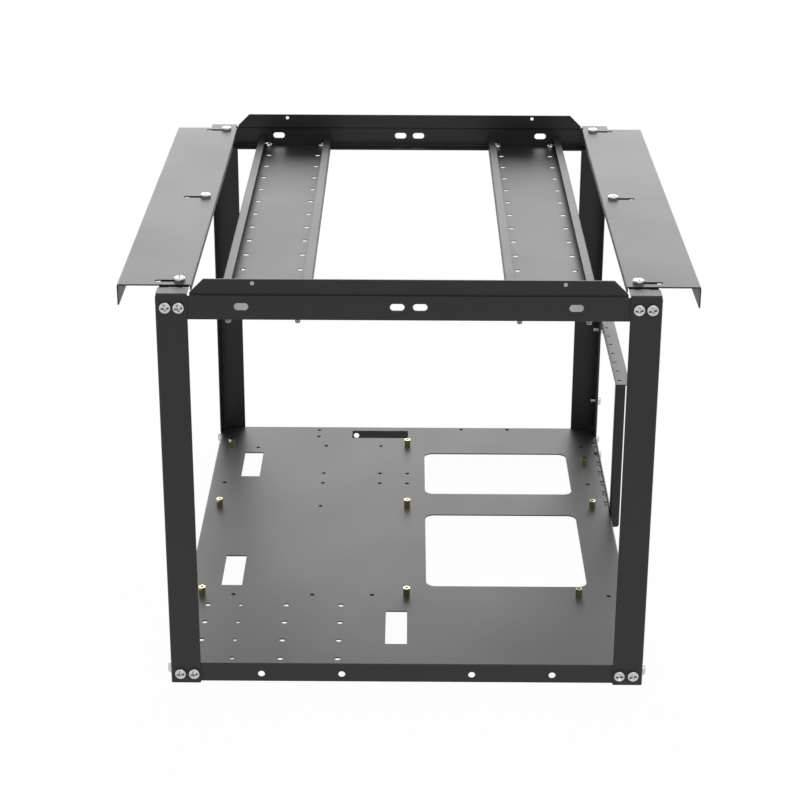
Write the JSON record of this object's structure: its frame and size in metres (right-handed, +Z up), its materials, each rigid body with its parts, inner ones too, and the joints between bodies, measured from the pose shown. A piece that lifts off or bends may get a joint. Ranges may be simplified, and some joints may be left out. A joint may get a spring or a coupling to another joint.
{
  "type": "open air test bench",
  "caption": "Open air test bench for computer parts: bolted folded-steel frame with a drilled board tray on standoffs, a card bracket holder, top trays and sliding side plates.",
  "frame": {"origin": "on the floor, at the middle of the frame", "axes": "+X right, +Y to the rear, +Z up"},
  "size_m": [0.3946, 0.4386, 0.3077],
  "materials": {
    "black_coat": "black powder coat, slightly glossy",
    "brass": "plain, hexagonal stock",
    "zinc": "bright zinc plate"
  },
  "bodies": {
    "frame": {"base_plate": "black_coat", "front_left_post": "black_coat", "front_right_post": "black_coat", "rear_left_post": "black_coat", "rear_right_post": "black_coat", "front_top_rail": "black_coat", "rear_top_rail": "black_coat", "left_side_rail": "black_coat", "right_side_rail": "black_coat", "left_tray": "black_coat", "right_tray": "black_coat", "card_holder": "black_coat", "standoff_front_left": "brass", "standoff_front_middle": "brass", "standoff_front_right": "brass", "standoff_centre_left": "brass", "standoff_centre_middle": "brass", "standoff_centre_right": "brass", "standoff_rear_left": "brass", "standoff_rear_middle": "brass", "standoff_rear_right": "brass", "front_left_top_screws": "zinc", "front_left_foot_screws": "zinc", "front_right_top_screws": "zinc", "front_right_foot_screws": "zinc", "rear_left_top_screws": "zinc", "rear_left_foot_screws": "zinc", "rear_right_top_screws": "zinc", "rear_right_foot_screws": "zinc", "left_side_foot_screws": "zinc", "right_side_foot_screws": "zinc", "left_tray_screws": "zinc", "right_tray_screws": "zinc", "left_wing_screws": "zinc", "right_wing_screws": "zinc", "holder_post_screws": "zinc", "holder_band_screws": "zinc"},
    "left_wing": {"left_wing": "black_coat"},
    "right_wing": {"right_wing": "black_coat"}
  },
  "joints": [
    {"name": "left_wing_slide", "type": "slide", "parent": "frame", "child": "left_wing", "axis": [1, 0, 0], "range_m": [0, 0.0145]},
    {"name": "right_wing_slide", "type": "slide", "parent": "frame", "child": "right_wing", "axis": [-1, 0, 0], "range_m": [0, 0.0145]}
  ]
}
